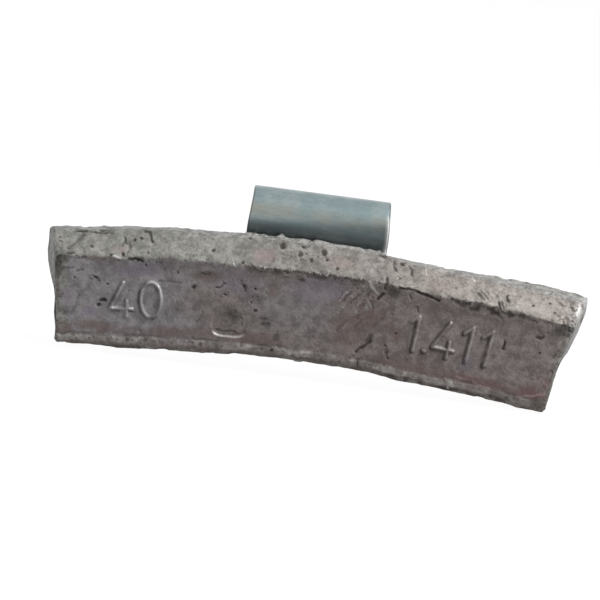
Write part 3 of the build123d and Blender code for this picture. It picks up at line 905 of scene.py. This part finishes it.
hook_start = -hook_middle_radius * turned(90.0 - neck_lean)
neck_centre = hook_start - neck_radius * turned(90.0 - neck_lean)
root_end = neck_centre + neck_radius * turned(90.0 + root_lean) - root_length * turned(root_lean)
neck_turn, hook_turn = root_lean + neck_lean, neck_lean + hook_wrap
strip_line, strip_heading = bent_strip(
    root_end,
    root_lean,
    (
        (root_length, 0.0),
        (neck_radius * np.radians(neck_turn), -neck_turn),
        (hook_middle_radius * np.radians(hook_turn), hook_turn),
        (leg_length, 0.0),
        (tip_radius * np.radians(tip_flare), -tip_flare),
    ),
    step=0.11,
)
strip_run = np.append(0.0, np.cumsum(np.linalg.norm(np.diff(strip_line, axis=0), axis=1)))
hook_run = root_length + neck_radius * np.radians(neck_turn)

# The strip is as wide as the clip, a little wider at its foot, and its tip has round corners
tip_gap = np.clip(tip_corner_radius - (strip_run[-1] - strip_run), 0.0, tip_corner_radius * 0.995)
half_width = clip_half_width - tip_corner_radius + np.sqrt(tip_corner_radius**2 - tip_gap**2)
half_width += foot_spread * smooth(hook_run + 4.0, hook_run, strip_run)
sheet_outline = rounded_outline(
    [
        (-half_sheet, -clip_half_width),
        (half_sheet, -clip_half_width),
        (half_sheet, clip_half_width),
        (-half_sheet, clip_half_width),
    ],
    radii=(sheared_edge_radius,) * 4,
    run_rows=(3, 48, 3, 48),
    arc_rows=(6, 6, 6, 6),
)[0]
sheet_depth, sheet_side = sheet_outline.T
outward = np.stack([-turned(strip_heading)[:, 1], turned(strip_heading)[:, 0]], axis=1)
narrowing = clip_half_width - half_width
across = sheet_side - narrowing[:, None] * (sheet_side / clip_half_width)
sheet = strip_line[:, None] + sheet_depth[None, :, None] * outward[:, None]
skew_lift = across * np.tan(clip_skew) - clip_half_width * np.tan(clip_skew)
clip_rings = np.stack([across + clip_shift, sheet[..., 0], sheet[..., 1] + skew_lift], axis=-1)
clip_rings = np.clip(clip_rings, box_low + box_margin, box_high - box_margin)

# What its material shows: sheared sides, -1 on the left and 1 on the right, a painted highlight low
# on the right edge, and painted shade with some grime in the foot's crevice
sheared = smooth(clip_half_width - 0.3, clip_half_width - 0.1, np.abs(sheet_side)) * np.sign(sheet_side)
# Painted highlight: a white line along the outer side of the right sheared edge, low on the hook
edge_highlight = hump(sheet_side, clip_half_width - 0.17, 0.09) * (sheet_depth > 0.0)
# Painted shade with some grime: darker from the foot's crevice up the lower part of the hook
crevice_grime_and_shade = smooth(hook_run + 1.7, hook_run + 0.2, strip_run)
clip_fields = {
    "sheared": np.broadcast_to(sheared, across.shape),
    "edge_highlight": edge_highlight * smooth(40.0, 15.0, strip_heading)[:, None],
    "heading": np.broadcast_to(strip_heading[:, None], across.shape),
    "crevice_grime_and_shade": np.broadcast_to(crevice_grime_and_shade[:, None], across.shape),
}
rim_clip = closed_tube("rim_clip_strip", clip_rings, clip_fields)

plated_steel, steel_surface, steel_place = new_material("plated_steel")
steel_sheared = steel_place.attribute("sheared")
steel_heading = steel_place.attribute("heading")
steel_crevice_grime_and_shade = steel_place.attribute("crevice_grime_and_shade")
steel_edge_highlight = steel_place.attribute("edge_highlight")
steel_patch = steel_place.noise(0.4, 4.0, 0.6, seed=2.0).between(0.35, 0.65)
steel_belly = steel_heading.between(45.0, 20.0) * steel_heading.between(-10.0, 10.0)
steel_tone = steel_patch.mix((0.235, 0.305, 0.318, 1.0), (0.315, 0.375, 0.384, 1.0))
steel_tone = (steel_belly * (0.3 + 0.6 * steel_patch)).mix(steel_tone, (0.285, 0.3, 0.265, 1.0))
steel_streak = steel_place.scaled((0.35, 1.6, 1.6)).noise(2.2, 4.0, 0.6, seed=4.0)
steel_tone = (steel_streak.between(0.45, 0.65) * 0.3).mix(steel_tone, (0.19, 0.21, 0.22, 1.0))
steel_speck = steel_place.noise(3.6, 2.0, 0.5, seed=6.0)
steel_tone = (steel_speck.between(0.6, 0.72) * 0.25).mix(steel_tone, (0.1, 0.11, 0.115, 1.0))
steel_side = (0.12, 0.13, 0.13, 1.0)
steel_tone = (steel_sheared.between(0.2, 1.0) * 0.8).mix(steel_tone, steel_side)
steel_tone = (steel_sheared.between(-0.2, -1.0) * 0.7).mix(steel_tone, steel_side)
# Painted shade, with some grime, from the foot's crevice up the hook
steel_tone = (steel_crevice_grime_and_shade * 0.7).mix(steel_tone, (0.09, 0.1, 0.105, 1.0))
# Painted highlight in white on the right edge
steel_tone = steel_edge_highlight.mix(steel_tone, (0.85, 0.85, 0.84, 1.0))
steel_relief = {"Strength": 0.25, "Distance": 0.00006, "Height": steel_streak}
feed(
    steel_surface,
    Base_Color=steel_tone,
    Metallic=1.0 - steel_edge_highlight,
    Roughness=0.24 + 0.12 * steel_streak + 0.4 * steel_sheared.between(0.1, 0.7) + 0.15 * steel_crevice_grime_and_shade,
    Normal=steel_place.node("ShaderNodeBump", None, steel_relief),
)
rim_clip.data.materials.append(plated_steel)
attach(rim_clip, "root")
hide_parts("rim_clip")


# Studio. A pale floor under the bar's two ends, one broad soft lamp above and to the right, a weak
# even world, and a folded grey card before the bar that only reflections see.
floor_half = 3000.0
floor_z = box_low[2]
floor_level = 0.95
floor_matt = 0.14
world_level = 0.33
backdrop_level = 0.99
card_level = 0.33
card_left, card_right = -70.0, 90.0
card_near, card_far = -8.0, -40.0
card_z, card_top = floor_z + 0.1, 110.0
fold_left, top_left = -8.5, 60.0
lamp_place = (198.0, -102.0, 236.0)
lamp_size = 170.0
lamp_power = 1.0


def grey(level):
    """A grey of the given level."""
    return (level, level, level, 1.0)


def flat_sheet(name, corners, faces):
    """A stage object of a few flat faces."""
    mesh = bpy.data.meshes.new(name)
    mesh.from_pydata((np.array(corners) * MILLIMETRE).tolist(), [], faces)
    sheet = bpy.data.objects.new(name, mesh)
    bpy.context.collection.objects.link(sheet)
    return sheet


def paint(sheet, shader):
    """Give a stage object the surface that a function builds from an empty node tree."""
    material = bpy.data.materials.new(sheet.name + "_paint")
    material.use_nodes = True
    material.node_tree.nodes.clear()
    start = Field(material.node_tree, None)
    start.node("ShaderNodeOutputMaterial", None, {"Surface": shader(start)})
    sheet.data.materials.append(material)


def seen_directly(start):
    """1 for rays from the camera and for reflections and refractions of the background, else 0."""
    camera_ray, glossy_ray, clear_ray = (
        start.node("ShaderNodeLightPath", output=ray)
        for ray in ("Is Camera Ray", "Is Glossy Ray", "Is Transmission Ray")
    )
    return camera_ray.math("MAXIMUM", camera_ray, glossy_ray.math("MAXIMUM", glossy_ray, clear_ray))


def pale_floor(start):
    """Nearly white to the camera, as dim as the world to the object, and matt for a faint shadow."""
    strength = world_level + (floor_level - world_level) * seen_directly(start)
    glow = start.node("ShaderNodeEmission", None, {"Color": grey(1.0), "Strength": strength})
    matt = start.node("ShaderNodeBsdfDiffuse", None, {"Color": grey(floor_matt)})
    return start.node("ShaderNodeAddShader", None, {0: glow, 1: matt})


def grey_card(start):
    """An even mid grey, whatever light falls on it."""
    return start.node("ShaderNodeEmission", None, {"Color": grey(card_level)})


floor_corners = [
    (-floor_half, -floor_half, floor_z),
    (floor_half, -floor_half, floor_z),
    (floor_half, floor_half, floor_z),
    (-floor_half, floor_half, floor_z),
]
floor = flat_sheet("floor", floor_corners, [(0, 1, 2, 3)])
paint(floor, pale_floor)
card_corners = [
    (card_left, card_near, card_z),
    (card_right, card_near, card_z),
    (card_right, card_far, card_z),
    (fold_left, card_far, card_z),
    (card_left, card_far, card_z),
    (card_right, card_far, card_top),
    (top_left, card_far, card_top),
]
card = flat_sheet("card", card_corners, [(0, 1, 2, 3, 4), (3, 2, 5, 6)])
paint(card, grey_card)
card.visible_camera = False
card.visible_diffuse = False
card.visible_shadow = False
card.visible_transmission = False

world = bpy.data.worlds.new("studio")
world.use_nodes = True
bpy.context.scene.world = world
backdrop = next(node for node in world.node_tree.nodes if node.type == "BACKGROUND")
world_strength = world_level + (backdrop_level - world_level) * seen_directly(Field(world.node_tree, None))
world.node_tree.links.new(world_strength.socket, backdrop.inputs["Strength"])
backdrop.inputs["Color"].default_value = grey(1.0)


def look_matrix(eye, aim, roll):
    """Placement at eye with -Z towards aim, turned by roll about the line of sight."""
    forward = (aim - eye).normalized()
    right = forward.cross(Vector((0.0, 0.0, 1.0))).normalized()
    up = right.cross(forward)
    turned_right = right * np.cos(roll) + up * np.sin(roll)
    turned_up = up * np.cos(roll) - right * np.sin(roll)
    axes = Matrix((turned_right, turned_up, -forward)).transposed().to_4x4()
    return Matrix.Translation(eye * MILLIMETRE) @ axes


def soft_lamp(name, place, aim, size, power):
    """A square area lamp."""
    lamp = bpy.data.lights.new(name, "AREA")
    lamp.shape = "SQUARE"
    lamp.size = size * MILLIMETRE
    lamp.energy = power
    holder = bpy.data.objects.new(name, lamp)
    bpy.context.collection.objects.link(holder)
    holder.matrix_world = look_matrix(Vector(place), aim, 0.0)


bar_middle = Vector((0.0, -3.5, -8.15))
soft_lamp("overhead", lamp_place, bar_middle, lamp_size, lamp_power)

camera_distance = 220.0
camera_height = np.radians(10.0)
camera_side = np.radians(-1.3)
camera_roll = np.radians(8.13)
camera_aim = Vector((-1.43, -3.54, -8.58))
frame_width = 65.8
camera_data = bpy.data.cameras.new("camera")
camera_data.sensor_width = 36.0
camera_data.lens = camera_data.sensor_width * camera_distance / frame_width
camera_data.clip_start = 0.01
camera = bpy.data.objects.new("camera", camera_data)
bpy.context.collection.objects.link(camera)
camera_level = np.cos(camera_height)
camera_across = np.sin(camera_side) * camera_level
camera_forward = -np.cos(camera_side) * camera_level
camera_arm = Vector((camera_across, camera_forward, np.sin(camera_height)))
camera.matrix_world = look_matrix(bar_middle + camera_arm * camera_distance, camera_aim, camera_roll)
bpy.context.scene.camera = camera
bpy.context.scene.view_settings.view_transform = "Standard"
